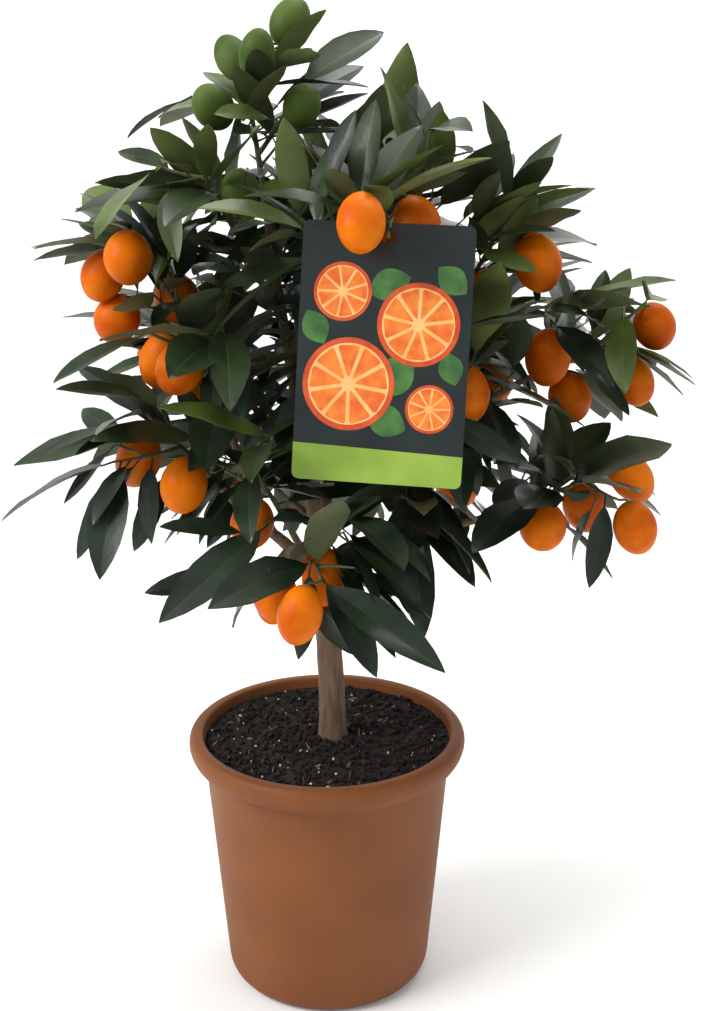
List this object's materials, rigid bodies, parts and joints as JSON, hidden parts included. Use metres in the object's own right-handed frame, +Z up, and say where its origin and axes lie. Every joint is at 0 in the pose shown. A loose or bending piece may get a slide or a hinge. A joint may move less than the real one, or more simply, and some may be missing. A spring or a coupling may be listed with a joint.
{
  "type": "potted kumquat tree",
  "caption": "Small citrus tree in a round plastic pot: one slim trunk, forked boughs, masses of glossy leaves with oval orange and green fruit, and a picture card tied in front.",
  "frame": {"origin": "centre of the flat underside of the pot", "axes": "+Z up along the pot's axis, -Y to the front where the card hangs, +X to the right as seen from the front"},
  "size_m": [0.4538, 0.4054, 0.6891],
  "materials": {
    "pot": "satin terracotta-coloured plastic",
    "soil": "moist dark potting soil with white perlite grains",
    "bark": "grey-brown bark with fine upright streaks",
    "leaf": "leathery dark green leaves with a soft gloss",
    "fruit": "orange citrus peel with fine pores",
    "fruit_green": "unripe green citrus peel",
    "card": "glossy printed plastic card",
    "tie": "green plastic-coated tie"
  },
  "bodies": {
    "root": {"pot": "pot", "soil": "soil", "trunk": "bark", "card": "card", "card_tie": "tie", "bough_leader": "bark", "bough_left": "bark", "bough_right": "bark", "bough_front": "bark", "bough_back": "bark", "bough_left_high": "bark", "bough_right_high": "bark", "bough_front_high": "bark", "bough_back_high": "bark", "bough_top_left": "bark", "bough_upper_right": "bark", "bough_right_shoulder": "bark", "bough_left_middle": "bark", "bough_left_front": "bark", "bough_right_front": "bark", "bough_right_inner": "bark", "bough_back_left": "bark", "bough_back_right": "bark", "bough_back_low_left": "bark", "bough_back_low_right": "bark", "foliage_leader": "leaf", "foliage_left": "leaf", "foliage_right": "leaf", "foliage_front": "leaf", "foliage_back": "leaf", "foliage_left_high": "leaf", "foliage_right_high": "leaf", "foliage_front_high": "leaf", "foliage_back_high": "leaf", "foliage_top_left": "leaf", "foliage_upper_right": "leaf", "foliage_right_shoulder": "leaf", "foliage_left_middle": "leaf", "foliage_left_front": "leaf", "foliage_right_front": "leaf", "foliage_right_inner": "leaf", "foliage_back_left": "leaf", "foliage_back_right": "leaf", "foliage_back_low_left": "leaf", "foliage_back_low_right": "leaf"}
  },
  "joints": []
}
